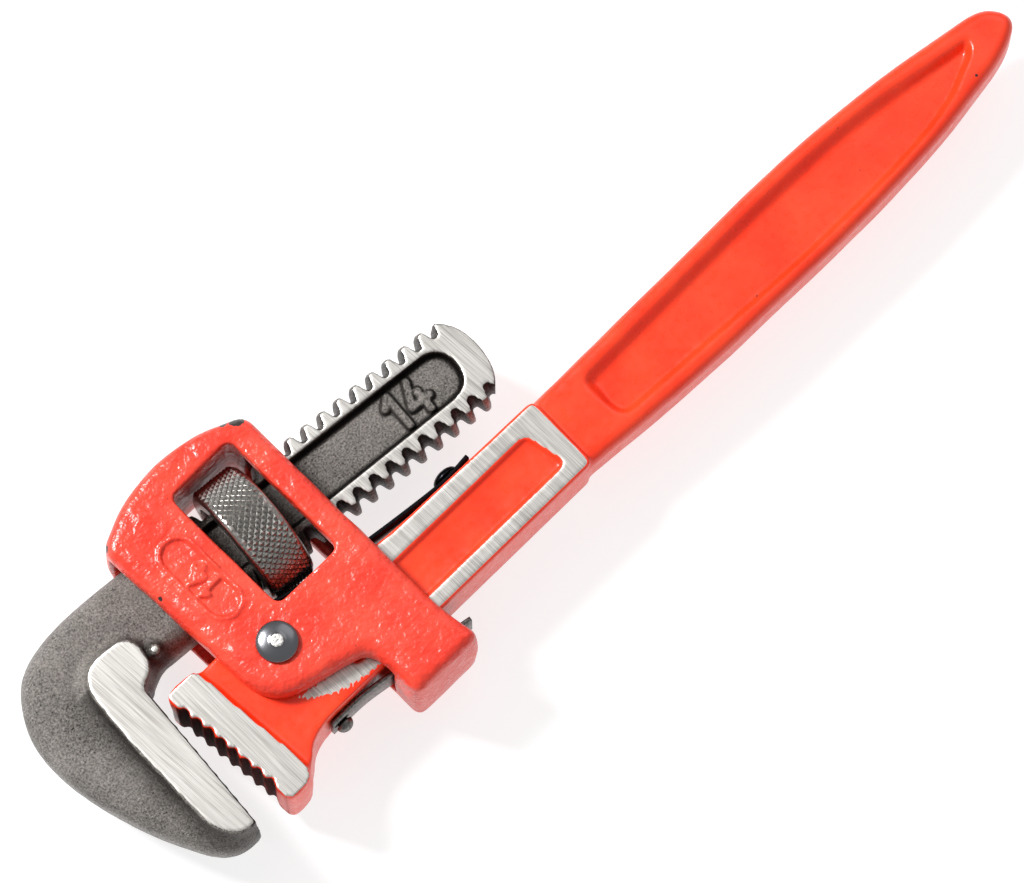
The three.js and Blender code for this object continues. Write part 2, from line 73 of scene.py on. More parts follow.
def fromShank(points):
    # the shank's own directions, from the middle of the nut, to x, y, z about the pivot
    c, s = math.cos(shankLean), math.sin(shankLean)
    x, y, z = np.asarray(points, float).T
    return np.stack([nutCentre[0] + x * c + y * s, nutCentre[1] - x * s + y * c, z], 1)


def shankUnder(x):
    # edge of the shank on the handle's side
    fall = (x - nutCentre[0]) * math.tan(shankLean)
    return nutCentre[1] - fall - thread["radius"] / math.cos(shankLean)


def curve(corners, steps=7):
    # closed outline through corners [x, y, reach]; a corner with reach is a curve that long each way
    points = []
    count = len(corners)
    for i, (x, y, reach) in enumerate(corners):
        here = np.array([x, y], float)
        if reach == 0:
            points.append(here)
            continue
        ends = []
        for other in (corners[i - 1], corners[(i + 1) % count]):
            side = np.array(other[:2], float) - here
            length = np.hypot(*side)
            ends.append(here + side * min(reach, length / 2) / length)
        for t in np.linspace(0, 1, steps + 1):
            points.append((1 - t) ** 2 * ends[0] + 2 * t * (1 - t) * here + t * t * ends[1])
    return np.array(points)


def outlineDistance(outline, x, y):
    # mm to a closed outline, negative inside
    nearest = np.full(np.broadcast(x, y).shape, 1e9)
    inside = np.zeros(nearest.shape, bool)
    for (ax, ay), (bx, by) in zip(outline, np.roll(outline, -1, 0)):
        ex, ey = bx - ax, by - ay
        length = ex * ex + ey * ey
        if length < 1e-9:
            continue
        wx, wy = x - ax, y - ay
        t = np.clip((wx * ex + wy * ey) / length, 0, 1)
        nearest = np.minimum(nearest, (wx - ex * t) ** 2 + (wy - ey * t) ** 2)
        if abs(ey) > 1e-9:
            inside ^= ((ay > y) != (by > y)) & (x < ex * (y - ay) / ey + ax)
    return np.where(inside, -1, 1) * np.sqrt(nearest)


def strokeDistance(strokes, x, y):
    # mm to the nearest of some straight strokes
    nearest = np.full(np.broadcast(x, y).shape, 1e9)
    for ax, ay, bx, by in strokes:
        ex, ey = bx - ax, by - ay
        t = np.clip(((x - ax) * ex + (y - ay) * ey) / max(ex * ex + ey * ey, 1e-9), 0, 1)
        nearest = np.minimum(nearest, np.hypot(x - ax - ex * t, y - ay - ey * t))
    return nearest


def smoothStep(low, high, value):
    t = np.clip((value - low) / (high - low), 0, 1)
    return t * t * (3 - 2 * t)


def blendMin(a, b, reach):
    # the nearer of two fields, with a fillet where they meet
    h = np.clip(0.5 + 0.5 * (b - a) / reach, 0, 1)
    return b + (a - b) * h - reach * h * (1 - h)


def blendMax(a, b, reach):
    return -blendMin(-a, -b, reach)


def slabField(distance, z, half, edge):
    # a slab of half thickness half, which may vary, with its edges rounded inside the outline
    a = distance + edge
    b = np.abs(z) - half + edge
    return np.minimum(np.maximum(a, b), 0) + np.hypot(np.maximum(a, 0), np.maximum(b, 0)) - edge


def splineWeights(values, size):
    # how much each point of a row of lattice points counts at each value
    cells = (values - values.min()) / size
    base = np.floor(cells).astype(int)
    t = cells - base
    shares = [(1 - t) ** 3, 3 * t**3 - 6 * t**2 + 4, -3 * t**3 + 3 * t**2 + 3 * t + 1, t**3]
    weights = np.zeros((len(values), base.max() + 4))
    for step, share in enumerate(shares):
        weights[np.arange(len(values)), base + step] = share / 6
    return weights


def lumps(axes, size, seed):
    # smooth random swelling, about -1 to 1, with humps of the given size
    wx, wy, wz = [splineWeights(axis, size) for axis in axes]
    lattice = np.random.default_rng(seed).uniform(-2.4, 2.4, (wx.shape[1], wy.shape[1], wz.shape[1]))
    return np.einsum("ai,bj,ck,ijk->abc", wx, wy, wz, lattice, optimize=True)


def gridAxes(low, high, step):
    return [np.arange(a - 2.3 * step, b + 2.6 * step, step) for a, b in zip(low, high)]


def netMesh(name, field, axes, place):
    # a closed mesh of quads on the surface where the field is zero, facing out
    inside = field < 0
    strides = np.array([field.shape[1] * field.shape[2], field.shape[2], 1])
    cells, spots, corners = [], [], []
    for axis in range(3):
        low = tuple(slice(0, -1) if i == axis else slice(None) for i in range(3))
        high = tuple(slice(1, None) if i == axis else slice(None) for i in range(3))
        index = np.argwhere(inside[low] != inside[high])
        a, b = field[low][tuple(index.T)], field[high][tuple(index.T)]
        spot = index.astype(float)
        spot[:, axis] += a / (a - b)
        first, second = [i for i in range(3) if i != axis]
        around = np.stack([index @ strides - du * strides[first] - dv * strides[second]
                           for du, dv in ((0, 0), (1, 0), (1, 1), (0, 1))], 1)
        flip = (a > 0) != (axis == 1)
        corners.append(np.where(flip[:, None], around[:, ::-1], around))
        cells.append(around.T.ravel())
        spots.append(np.tile(spot, (4, 1)))
    names, owners = np.unique(np.concatenate(cells), return_inverse=True)
    spots = np.concatenate(spots)
    counts = np.bincount(owners)
    middle = np.stack([np.bincount(owners, spots[:, i]) / counts for i in range(3)], 1)
    steps = np.array([axis[1] - axis[0] for axis in axes])
    points = middle * steps + np.array([axis[0] for axis in axes])
    faces = np.searchsorted(names, np.concatenate(corners))
    return meshOf(name, place(points), faces), points


def meshOf(name, points, faces):
    # points in mm about the pivot; the mesh is in metres in the frame
    mesh = bpy.data.meshes.new(name)
    mesh.vertices.add(len(points))
    mesh.vertices.foreach_set("co", toRow(points).astype(np.float32).ravel())
    faces = [np.asarray(f) for f in faces] if isinstance(faces, list) else faces
    sizes = np.array([len(f) for f in faces])
    mesh.loops.add(int(sizes.sum()))
    mesh.loops.foreach_set("vertex_index", np.concatenate(list(faces)).astype(np.int32))
    mesh.polygons.add(len(faces))
    mesh.polygons.foreach_set("loop_start", (np.cumsum(sizes) - sizes).astype(np.int32))
    mesh.polygons.foreach_set("use_smooth", np.ones(len(faces), bool))
    mesh.update()
    mesh.validate()
    piece = bpy.data.objects.new(name, mesh)
    bpy.context.scene.collection.objects.link(piece)
    return piece


def note(piece, name, values):
    # one number for each point of the mesh, which its material reads
    attribute = piece.data.attributes.new(name, "FLOAT", "POINT")
    attribute.data.foreach_set("value", np.asarray(values, np.float32))


def turned(name, profile, columns, place):
    # a solid turned about z from (radius, height) points, the first and last on the axis
    angles = 2 * math.pi * np.arange(columns) / columns
    rings = profile[1:-1]
    points = [[r * math.cos(a), r * math.sin(a), h] for r, h in rings for a in angles]
    points += [[0, 0, profile[0][1]], [0, 0, profile[-1][1]]]
    faces = []
    for ring in range(len(rings) - 1):
        for i in range(columns):
            a, b = ring * columns + i, ring * columns + (i + 1) % columns
            faces.append([a, b, b + columns, a + columns])
    foot, top = len(points) - 2, len(points) - 1
    last = (len(rings) - 1) * columns
    for i in range(columns):
        following = (i + 1) % columns
        faces.append([foot, following, i])
        faces.append([top, last + i, last + following])
    return meshOf(name, place(np.array(points)), faces)


def domeProfile(radius, base, height, steps=9):
    turns = [i / steps * math.pi / 2 for i in range(steps)]
    return [(radius * math.cos(a), base + height * math.sin(a)) for a in turns] + [(0, base + height)]


def sizeMark(x, y, height, mark=((0.05, 0.76, 0.3, 1), (0.3, 1, 0.3, 0), (0.95, 1, 0.62, 0.34),
                                 (0.62, 0.34, 1.22, 0.34), (1.02, 0.62, 1.02, 0))):
    # the size in inches, 14, as strokes from its lower left corner
    return [(x + height * a, y + height * b, x + height * c, y + height * d) for a, b, c, d in mark]


def linear(code):
    values = [int(code[i:i + 2], 16) / 255 for i in (1, 3, 5)]
    return tuple(v / 12.92 if v <= 0.04045 else ((v + 0.055) / 1.055) ** 2.4 for v in values) + (1,)


def addNode(tree, kind, settings=(), links=(), **values):
    # settings go on the node, values and links on its sockets by name or number
    made = tree.nodes.new(kind)
    for key, value in dict(settings).items():
        setattr(made, key, value)
    for key, value in list(values.items()) + list(dict(links).items()):
        socket = made.inputs[key.replace("_", " ") if isinstance(key, str) else key]
        if isinstance(value, bpy.types.NodeSocket):
            tree.links.new(value, socket)
        else:
            socket.default_value = value
    return made


def newMaterial(name):
    material = bpy.data.materials.new(name)
    material.use_nodes = True
    tree = material.node_tree
    tree.nodes.clear()
    output = addNode(tree, "ShaderNodeOutputMaterial")
    shader = addNode(tree, "ShaderNodeBsdfPrincipled")
    tree.links.new(shader.outputs[0], output.inputs["Surface"])
    place = addNode(tree, "ShaderNodeTexCoord").outputs["Object"]
    return material, tree, shader, place


def noise(tree, place, millimetres, detail=2.0, roughness=0.5, stretch=(1, 1, 1), turn=0.0):
    # noise with grains of the given size; stretch makes them longer along x, y or z
    scale = tuple(1000 / millimetres / s for s in stretch)
    mapping = addNode(tree, "ShaderNodeMapping", {"vector_type": "TEXTURE"}, {"Vector": place},
                      Rotation=(0, 0, turn), Scale=tuple(1 / s for s in scale))
    texture = addNode(tree, "ShaderNodeTexNoise", {}, {"Vector": mapping.outputs[0]},
                      Scale=1.0, Detail=detail, Roughness=roughness)
    return texture.outputs["Fac"]


def remap(tree, value, low, high, toLow=0.0, toHigh=1.0):
    made = addNode(tree, "ShaderNodeMapRange", {"clamp": True}, {"Value": value})
    for socket, number in zip(list(made.inputs)[1:5], (low, high, toLow, toHigh)):
        socket.default_value = number
    return made.outputs[0]


def arithmetic(tree, operation, a, b):
    return addNode(tree, "ShaderNodeMath", {"operation": operation}, {0: a, 1: b}).outputs[0]


def mixColour(tree, share, a, b):
    made = addNode(tree, "ShaderNodeMix", {"data_type": "RGBA"})
    for index, value in ((0, share), (6, a), (7, b)):
        if isinstance(value, bpy.types.NodeSocket):
            tree.links.new(value, made.inputs[index])
        else:
            made.inputs[index].default_value = value
    return made.outputs[2]


def mixNumber(tree, share, a, b):
    made = addNode(tree, "ShaderNodeMix", {"data_type": "FLOAT"}, {0: share, 2: a, 3: b})
    return made.outputs[0]


def bump(tree, height, millimetres, strength=1.0, normal=None):
    made = addNode(tree, "ShaderNodeBump", {}, {"Height": height}, Strength=strength,
                   Distance=millimetres / 1000)
    if normal is not None:
        tree.links.new(normal, made.inputs["Normal"])
    return made.outputs[0]


def attributeOf(tree, name):
    return addNode(tree, "ShaderNodeAttribute", {"attribute_name": name}).outputs["Fac"]


def maskAbove(tree, name, ragged, grain, place):
    # 1 where the noted distance is above zero, with an edge that wanders by ragged mm
    wander = arithmetic(tree, "MULTIPLY", arithmetic(tree, "SUBTRACT", noise(tree, place, grain, 3), 0.5),
                        2 * ragged)
    return remap(tree, arithmetic(tree, "ADD", attributeOf(tree, name), wander), -0.04, 0.04)


def groundSteel(tree, place, turn, look):
    # colour, roughness and bump height of a face that a coarse wheel has ground: long fine lines
    lines = noise(tree, place, look["lineWidth"], 4, 0.6, (1, 45, 45), turn)
    bands = noise(tree, place, 3 * look["lineWidth"], 2, 0.5, (1, 25, 25), turn)
    both = arithmetic(tree, "ADD", arithmetic(tree, "MULTIPLY", lines, 0.7),
                      arithmetic(tree, "MULTIPLY", bands, 0.3))
    colour = mixColour(tree, remap(tree, both, 0.36, 0.62), linear(look["dark"]), linear(look["light"]))
    roughness = remap(tree, lines, 0.3, 0.7, look["roughness"] + 0.08, look["roughness"] - 0.06)
    return colour, roughness, both


groundLook = {"lineWidth": 0.34, "dark": "#a19d98", "light": "#e9e6e1", "roughness": 0.4}

enamelLook = {
    "peel": 2.4,        # mm across one dimple of the orange peel
    "mottle": 14,       # mm across a patch of slightly thicker paint
    "roughness": 0.29,
    "chip": "#2b2523",
}


def enamelOverSteel(name, colour, thin, peelDepth, groundTurn, tooth):
    # Air-dried alkyd enamel, sprayed on rough steel: even saturated colour, soft gloss broken by
    # orange peel, slightly lighter where it is thin. The ground faces were bared after painting.
    # where the shade note is set, this paints shade: the paint goes to the dark tooth colour and loses
    # gloss and reflection
    material, tree, shader, place = newMaterial(name)
    mottle = noise(tree, place, enamelLook["mottle"], 3)
    paint = mixColour(tree, remap(tree, mottle, 0.35, 0.65), linear(colour), linear(thin))
    dirt = remap(tree, noise(tree, place, 1.1, 2), 0.755, 0.775)
    paint = mixColour(tree, dirt, paint, linear(enamelLook["chip"]))
    paint = mixColour(tree, attributeOf(tree, "shade"), paint, linear(tooth))
    chipped = maskAbove(tree, "chip", 0.5, 1.4, place)
    paint = mixColour(tree, chipped, paint, linear(enamelLook["chip"]))
    peel = noise(tree, place, enamelLook["peel"], 1)
    waves = bump(tree, noise(tree, place, 5, 3, 0.6), 2.5 * peelDepth)
    paintNormal = bump(tree, peel, peelDepth, 1.0, waves)
    bare = maskAbove(tree, "bare", 0.12, 0.9, place)
    steel, steelRoughness, lines = groundSteel(tree, place, groundTurn, groundLook)
    tree.links.new(mixColour(tree, bare, paint, steel), shader.inputs["Base Color"])
    tree.links.new(bare, shader.inputs["Metallic"])
    gloss = remap(tree, peel, 0.3, 0.7, enamelLook["roughness"] - 0.04, enamelLook["roughness"] + 0.08)
    shaded = attributeOf(tree, "shade")
    gloss = mixNumber(tree, shaded, gloss, 0.8)
    tree.links.new(mixNumber(tree, shaded, 0.5, 0.05), shader.inputs["Specular IOR Level"])
    tree.links.new(mixNumber(tree, bare, gloss, steelRoughness), shader.inputs["Roughness"])
    normals = addNode(tree, "ShaderNodeMix", {"data_type": "VECTOR"})
    tree.links.new(bare, normals.inputs[0])
    tree.links.new(paintNormal, normals.inputs[4])
    tree.links.new(bump(tree, lines, 0.05, 0.6), normals.inputs[5])
    tree.links.new(normals.outputs[1], shader.inputs["Normal"])
    return material


forgedLook = {
    "grain": 0.62,      # mm across a facet of the shot-blasted skin
    "dark": "#191716",
    "light": "#a8a29c",
    # colour of the painted shade in pockets, gullets and other hollows
    "wallShade": "#15110f",
    "roughness": 0.36,
}


def forgedAndGround(name, groundTurn):
    # Drop-forged steel, shot-blasted: dark grey with small facets that glint, with painted shade,
    # nearly black, in the pockets and gullets, and near white with fine lines where it was ground.
    material, tree, shader, place = newMaterial(name)
    grain = noise(tree, place, forgedLook["grain"], 4, 0.75)
    patch = noise(tree, place, 16, 2)
    tone = arithmetic(tree, "ADD", remap(tree, grain, 0.3, 0.72), remap(tree, patch, 0.3, 0.7, -0.12, 0.12))
    skin = mixColour(tree, tone, linear(forgedLook["dark"]), linear(forgedLook["light"]))
    skin = mixColour(tree, attributeOf(tree, "shade"), skin, linear(forgedLook["wallShade"]))
    bare = maskAbove(tree, "bare", 0.15, 0.8, place)
    steel, steelRoughness, lines = groundSteel(tree, place, groundTurn, groundLook)
    tree.links.new(mixColour(tree, bare, skin, steel), shader.inputs["Base Color"])
    tree.links.new(mixNumber(tree, bare, 0.85, 1.0), shader.inputs["Metallic"])
    dull = remap(tree, grain, 0.3, 0.7, forgedLook["roughness"] + 0.12, forgedLook["roughness"] - 0.08)
    tree.links.new(mixNumber(tree, bare, dull, steelRoughness), shader.inputs["Roughness"])
    normals = addNode(tree, "ShaderNodeMix", {"data_type": "VECTOR"})
    tree.links.new(bare, normals.inputs[0])
    tree.links.new(bump(tree, grain, 0.5), normals.inputs[4])
    tree.links.new(bump(tree, lines, 0.05, 0.6), normals.inputs[5])
    tree.links.new(normals.outputs[1], shader.inputs["Normal"])
    return material


def plainSteel(name, dark, light, roughness, grain, depth, metallic=1.0):
    # steel of one finish: its tone wanders between two greys over its grain
    material, tree, shader, place = newMaterial(name)
    fleck = noise(tree, place, grain, 3, 0.6)
    tree.links.new(mixColour(tree, remap(tree, fleck, 0.3, 0.7), linear(dark), linear(light)),
                   shader.inputs["Base Color"])
    tree.links.new(remap(tree, fleck, 0.3, 0.7, roughness + 0.06, roughness - 0.06),
                   shader.inputs["Roughness"])
    shader.inputs["Metallic"].default_value = metallic
    tree.links.new(bump(tree, fleck, depth), shader.inputs["Normal"])
    return material


def peenedRivetSteel(name):
    # Polished mild steel, its head spun over: dark mirror with a darker rim and a bright, pitted
    # spot in the middle where the snap struck it.
    material, tree, shader, place = newMaterial(name)
    pits = noise(tree, place, 0.6, 3, 0.7)
    spot = maskAbove(tree, "bare", 0.25, 0.7, place)
    polished = linear("#77787c")
    struck = mixColour(tree, remap(tree, pits, 0.35, 0.6), linear("#8f8d8a"), linear("#efedea"))
    tree.links.new(mixColour(tree, spot, polished, struck), shader.inputs["Base Color"])
    shader.inputs["Metallic"].default_value = 1.0
    tree.links.new(mixNumber(tree, spot, 0.24, 0.45), shader.inputs["Roughness"])
    tree.links.new(bump(tree, arithmetic(tree, "MULTIPLY", pits, spot), 0.12), shader.inputs["Normal"])
    return material


# the last colour of each enamel is its painted shade, laid where the shade note is set
handleEnamel = enamelOverSteel("glossEnamelOnForging", "#ee3210", "#f13f1c", 0.05, 0.0, "#2e1412")
frameEnamel = enamelOverSteel("glossEnamelOnCasting", "#de3524", "#e84834", 0.35, 0.0, "#3a1a16")
hookSteel = forgedAndGround("shotBlastedForging", 0.05)
nutSteel = plainSteel("oiledKnurledSteel", "#5f5c59", "#c2bfba", 0.3, 0.5, 0.02)
rivetSteel = peenedRivetSteel("peenedPolishedSteel")
blackSteel = plainSteel("blackOxideSpringSteel", "#141417", "#26262b", 0.3, 0.8, 0.02)
strapSteel = plainSteel("oilTemperedSpringSteel", "#4b4a4a", "#85827f", 0.36, 0.9, 0.03)
print("materials made")


handle = {
    "step": 0.7,             # mm between the mesh's points
    "blockHalf": 10.0,
    "blockEnd": 101.0,
    "front": 1.4,
    "back": -24.2,
    "blockPocket": [[12, -5.2, 2], [92.3, -5.2, 2.5], [95, -19, 2.5], [12, -19, 2]],
    "blockPocketDepth": 1.4,
    "gripHalf": 8.0,
    "gripEdge": 3.4,
    "gripPocketDepth": 3.2,
    "gripPocketSlope": 4.6,  # mm over which its walls fall
    "jawHalf": 12.5,
    "jawEdge": 1.0,
    "toothPitch": 4.4,
    "toothDepth": 1.7,
    "heelTop": 11.8,
    "heelFoot": -34.0,
    "heelBack": -17.2,
    "firstTooth": 6.6,
    "heelLean": 5.8,         # degrees
    "toothTip": 0.95,        # from the jaw's furthest point back to its first tooth
    "swell": 0.12,           # mm of unevenness
    "rubbed": [[-7, -14.2, 2], [8, -15.5, 2], [18, -20, 3], [26, -25, 1], [14, -23.4, 2],
               [5, -21.6, 2], [-1, -18.6, 2]],  # patch by the frame with its paint worn off
    "chips": [(224.4, 1.2, 5, 1.2), (261, -20.5, 7.6, 0.55), (169.3, -21.9, 5.4, 0.5)],
}


handleLow, handleHigh = nodeBox("handle")


def heelFace(y):
    # x of the heel jaw's tooth tips
    top = handleLow[0] + handle["toothTip"]
    return top + (handle["firstTooth"] - y) * math.tan(math.radians(handle["heelLean"]))


def heelOutline():
    pitch, depth = handle["toothPitch"], handle["toothDepth"]
    points = [[heelFace(handle["heelTop"]), handle["heelTop"], 4.5]]
    tooth = handle["firstTooth"]
    row = []
    while tooth - pitch > handle["heelFoot"] + 1.5:
        row.append([heelFace(tooth) - 0.1, tooth, 0.7])
        row.append([heelFace(tooth) + depth, tooth - 0.25 * pitch, 1.2])
        row.append([heelFace(tooth) + 0.8 * depth, tooth - 0.62 * pitch, 1.2])
        tooth -= pitch
    row.append([heelFace(tooth) - 0.1, tooth, 0.6])
    foot = handle["heelFoot"]
    heel = [[heelFace(foot) - 0.4, foot, 3], [handle["heelBack"] - 4, foot, 4],
            [handle["heelBack"] - 0.8, foot + 2.4, 4],
            [handle["heelBack"] - 3.6, handle["heelTop"] - 1, 9],
            [heelFace(handle["heelTop"]) + 9, handle["heelTop"], 5]]
    return curve(points + row + heel)


def buildHandle():
    h = handle
    axes = gridAxes(handleLow, handleHigh, h["step"])
    x, y, z = axes[0][:, None, None], axes[1][None, :, None], axes[2][None, None, :]
    flatX, flatY = axes[0][:, None], axes[1][None, :]
    tip = handleHigh[0]
    frontUnderNut = nutCentre[1] - nutSize["radius"] - 6.4
    block = curve([[h["heelBack"] - 5, h["heelTop"] - 1.5, 0], [-2, h["heelTop"] - 1, 10],
                   [nutCentre[0], frontUnderNut, 12], [41, h["front"] + 0.2, 12],
                   [h["blockEnd"] + 0.4, h["front"] - 0.6, 2.5], [h["blockEnd"] - 0.4, h["back"], 2.5],
                   [-10, h["back"], 9], [h["heelBack"], h["heelFoot"] + 3, 4],
                   [h["heelBack"] - 5, h["heelFoot"] + 3, 0]])
    start = h["blockEnd"] - 6

    def along(share):
        return h["blockEnd"] + share * (tip - h["blockEnd"])

    belly, spine = h["front"] + 0.9, h["back"] - 4
    gripLine = curve([[start, h["front"] - 0.8, 0], [along(0.66), belly, 42], [tip - 5, -6.4, 6],
                      [tip, -12, 4], [tip, -17, 4], [tip - 9, -21.6, 8], [along(0.7), spine, 42],
                      [along(0.2), spine + 1.2, 24], [start, h["back"] + 0.6, 0]], 14)
    mouth = curve([[114, -3.2, 6], [along(0.66), belly - 3.2, 44], [tip - 13, -10, 3],
                   [tip - 14.5, -15, 4], [along(0.8), spine + 4.2, 26], [along(0.5), spine + 2.9, 30],
                   [116, h["back"] + 2.9, 5]], 14)
    blockDistance = outlineDistance(block, flatX, flatY)
    gripDistance = outlineDistance(gripLine, flatX, flatY)
    heelDistance = outlineDistance(heelOutline(), flatX, flatY)
    mouthDistance = outlineDistance(mouth, flatX, flatY)
    pocketDistance = outlineDistance(curve(h["blockPocket"]), flatX, flatY)
    # the wall on the front side slopes further than the one on the back
    middle = 0.5 * (h["front"] + h["back"])
    slope = 2.6 + (h["gripPocketSlope"] - 2.6) * smoothStep(middle - 4, middle + 4, flatY)
    gripHeight = h["gripHalf"] - h["gripPocketDepth"] * smoothStep(0, 1, -mouthDistance / slope)
    blockHeight = h["blockHalf"] - h["blockPocketDepth"] * smoothStep(-0.1, 1.0, -pocketDistance)
    # rounded floor of the block's pocket
    blockHeight = blockHeight - 0.25 * smoothStep(1, 5, -pocketDistance)
    blockField = slabField(blockDistance[:, :, None], z, blockHeight[:, :, None], 0.9)
    gripField = slabField(gripDistance[:, :, None], z, gripHeight[:, :, None], h["gripEdge"])
    bulge = 1.1 * (1 - np.clip(np.abs(z) / h["jawHalf"], 0, 1) ** 2)
    rough = h["swell"] * lumps(axes, 7, 3)
    heelField = slabField(heelDistance[:, :, None] - bulge * (flatY < 4)[:, :, None] * 0.35, z,
                          h["jawHalf"] + 0.7, h["jawEdge"]) + 1.6 * rough
    heelField = np.maximum(heelField, np.abs(z) - h["jawHalf"])
    field = blendMin(blockField, gripField + rough, 0.8)
    field = blendMin(field, heelField, 2.2)
    piece, points = netMesh("handle_forging", field, axes, lambda p: p)
    px, py, pz = points.T
    height = np.abs(pz)
    onHeel = 4 * (height - h["jawHalf"] + 0.1)
    onBlock = 4 * (height - h["blockHalf"] + 0.09)
    rim = np.minimum(onBlock, np.minimum(px - 30, h["blockEnd"] - px))
    rim = np.minimum(rim, -outlineDistance(block, px, py) - 0.35)
    patch = curve(h["rubbed"])
    ragged = np.sin(2.3 * px + 2.1 * np.sin(1.7 * py)) + np.sin(3.9 * py + 2.6 * np.sin(2.9 * px))
    rub = np.minimum(onBlock, 0.45 * ragged - 0.9 * outlineDistance(patch, px, py))
    note(piece, "bare", np.maximum(np.maximum(onHeel, rim), rub))
    # painted shade on the heel's toothed strip, in the gullets and on the tooth faces below the ground
    # faces
    deep = px - heelFace(py)
    teethShade = smoothStep(-0.6, 0.1, deep) * (1 - smoothStep(2.2, 2.9, deep))
    teethShade *= (height < h["jawHalf"] - 0.7) & (py < h["firstTooth"] + 1) & (py > h["heelFoot"] + 1.5)
    note(piece, "shade", 0.96 * teethShade)
    note(piece, "chip", chipDistance(points, h["chips"]))
    return piece


def chipDistance(points, spots):
    # mm inside the nearest chip in the paint, given as x, y, z and radius
    best = np.full(len(points), -9.0)
    for sx, sy, sz, radius in spots:
        away = np.sqrt(((points - np.array([sx, sy, sz])) ** 2).sum(1))
        best = np.maximum(best, radius - away)
    return best


thread = {
    "radius": 14.9,
    "depth": 3.2,
    "pitch": 6.0,
}

nutSize = {
    "radius": 18.75,     # under the knurl
    "length": 15.0,
    "step": 0.5,
    "clearance": 0.45,   # between the two threads
    "chamfer": 0.9,
    "knurlPitch": 2.25,
    "knurlHeight": 0.65,
}


def finish(piece, material, body, slot, *nodes):
    piece.data.materials.clear()
    piece.data.materials.append(material)
    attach(piece, body)
    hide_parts(*nodes)


handlePiece = buildHandle()
finish(handlePiece, handleEnamel, "handle", "handle_enamel", "handle")
print("handle:", len(handlePiece.data.polygons), "faces")


casting = {
    "step": 0.68,
    "half": 17.0,
    "cheek": 6.7,
    "edge": 3.1,
    "windowEdge": 1.0,
    "swell": 0.4,
    "lift": 0.4,                # the ridges stay inside the cheek's nominal thickness
    "wallUnderHandle": -28.2,
    "bridge": 17.0,             # where it starts along the handle
    "bridgeFall": 0.164,        # how steeply its inner face falls away from the handle
    "window": [7.9, 31.3, 7.8, 51.4],
    "windowCorner": 2.8,
    "plateAt": (-2.3, 28.5),    # middle of the raised stadium round the size
    "plateReach": 9.0,
    "plateHalfWidth": 5.3,
    "bossAt": (-1.7, 49.0),
    "rivetHole": 4.9,
    "chips": [(36.6, 53.8, 15, 2.3), (33.0, 55.6, 14.5, 1.5), (-14.6, 53.4, 14, 1.3),
              (-14.6, 32.2, 15.8, 1.0), (37.5, 54.0, -12, 1.8), (39.8, -37.0, 13, 1.0),
              (-12.6, 4.0, -14, 1.2)],
    "neckGap": 1.2,
}


